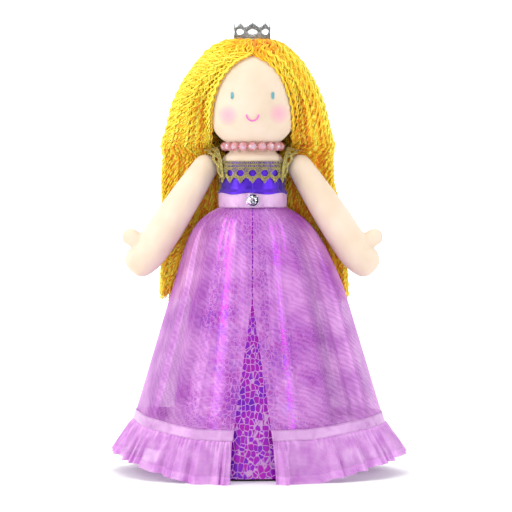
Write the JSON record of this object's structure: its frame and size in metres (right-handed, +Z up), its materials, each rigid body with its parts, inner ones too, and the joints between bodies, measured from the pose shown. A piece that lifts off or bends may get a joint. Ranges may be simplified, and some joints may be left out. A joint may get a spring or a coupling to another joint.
{
  "type": "princess rag doll",
  "caption": "Stuffed cloth princess doll with long yarn hair, lace crown, bead necklace and a long layered gown; the head turns, the arms raise and swing, the legs swing.",
  "frame": {"origin": "middle of the gown's hem, on the surface the doll stands on", "axes": "+Z up to the crown, -Y is the way the face looks, +X is the doll's own left"},
  "size_m": [0.1994, 0.1354, 0.3],
  "materials": {
    "cream_jersey": "brushed knitted cotton, matte",
    "fibre_filling": "loose polyester fibre",
    "yellow_yarn": "crimped wool-like yarn, soft sheen",
    "yellow_thread": "twisted thread",
    "teal_thread": "embroidery thread",
    "pink_thread": "embroidery thread",
    "cream_thread": "sewing thread",
    "purple_satin": "glossy satin",
    "gold_lace": "crocheted metallic lace",
    "silver_lace": "crocheted metallic lace, stiffened",
    "pink_ribbon": "satin ribbon",
    "lilac_ribbon": "satin ribbon",
    "silver_jewel": "mirror-coated, polished",
    "purple_foil_cloth": "metallic foil print in a scale pattern",
    "orchid_organza": "sheer, shimmering",
    "lilac_organza": "sheer, shimmering, doubled",
    "pink_beads": "translucent faceted with a rainbow coating",
    "clear_elastic": "clear elastic thread"
  },
  "bodies": {
    "torso": {"torso_skin": "cream_jersey", "torso_stuffing": "fibre_filling", "bodice": "purple_satin", "bodice_lace": "gold_lace", "left_lace_strap": "gold_lace", "right_lace_strap": "gold_lace", "waist_ribbon": "pink_ribbon", "ribbon_jewel": "silver_jewel", "underskirt": "purple_foil_cloth", "overskirt": "orchid_organza", "hem_ribbon": "lilac_ribbon", "hem_ruffle": "lilac_organza", "hair_left_fall": "yellow_yarn", "hair_right_fall": "yellow_yarn", "hair_back_fall": "yellow_yarn"},
    "head": {"head_skin": "cream_jersey", "head_stuffing": "fibre_filling", "left_eye": "teal_thread", "right_eye": "teal_thread", "mouth_stitch": "pink_thread", "crown_lace": "silver_lace", "parting_stitch": "yellow_thread", "hair_left_top": "yellow_yarn", "hair_right_top": "yellow_yarn"},
    "necklace": {"necklace_beads": "pink_beads", "necklace_thread": "clear_elastic"},
    "left_shoulder": {"left_shoulder_stitches": "cream_thread"},
    "left_arm": {"left_arm_skin": "cream_jersey", "left_arm_stuffing": "fibre_filling"},
    "left_leg": {"left_leg_skin": "cream_jersey", "left_leg_stuffing": "fibre_filling"},
    "right_shoulder": {"right_shoulder_stitches": "cream_thread"},
    "right_arm": {"right_arm_skin": "cream_jersey", "right_arm_stuffing": "fibre_filling"},
    "right_leg": {"right_leg_skin": "cream_jersey", "right_leg_stuffing": "fibre_filling"}
  },
  "joints": [
    {"name": "head_turn", "type": "hinge", "parent": "torso", "child": "head", "pos_m": [0, 0, 0.2213], "axis": [0, 0, 1], "range_deg": [-30, 30]},
    {"name": "necklace_turn", "type": "hinge", "parent": "torso", "child": "necklace", "pos_m": [0, 0, 0.2183], "axis": [0, 0, 1], "continuous": true},
    {"name": "left_arm_raise", "type": "hinge", "parent": "torso", "child": "left_shoulder", "pos_m": [0.0318, 0, 0.2045], "axis": [0, -1, 0], "range_deg": [0, 40]},
    {"name": "left_arm_swing", "type": "hinge", "parent": "left_shoulder", "child": "left_arm", "pos_m": [0.0318, 0, 0.2045], "axis": [-0.8387, 0, -0.5446], "range_deg": [0, 40]},
    {"name": "left_leg_swing", "type": "hinge", "parent": "torso", "child": "left_leg", "pos_m": [0.0117, 0, 0.146], "axis": [1, 0, 0], "range_deg": [-8, 12]},
    {"name": "right_arm_raise", "type": "hinge", "parent": "torso", "child": "right_shoulder", "pos_m": [-0.0318, 0, 0.2045], "axis": [0, 1, 0], "range_deg": [0, 40]},
    {"name": "right_arm_swing", "type": "hinge", "parent": "right_shoulder", "child": "right_arm", "pos_m": [-0.0318, 0, 0.2045], "axis": [-0.8387, 0, 0.5446], "range_deg": [0, 40]},
    {"name": "right_leg_swing", "type": "hinge", "parent": "torso", "child": "right_leg", "pos_m": [-0.0117, 0, 0.146], "axis": [1, 0, 0], "range_deg": [-8, 12]}
  ]
}
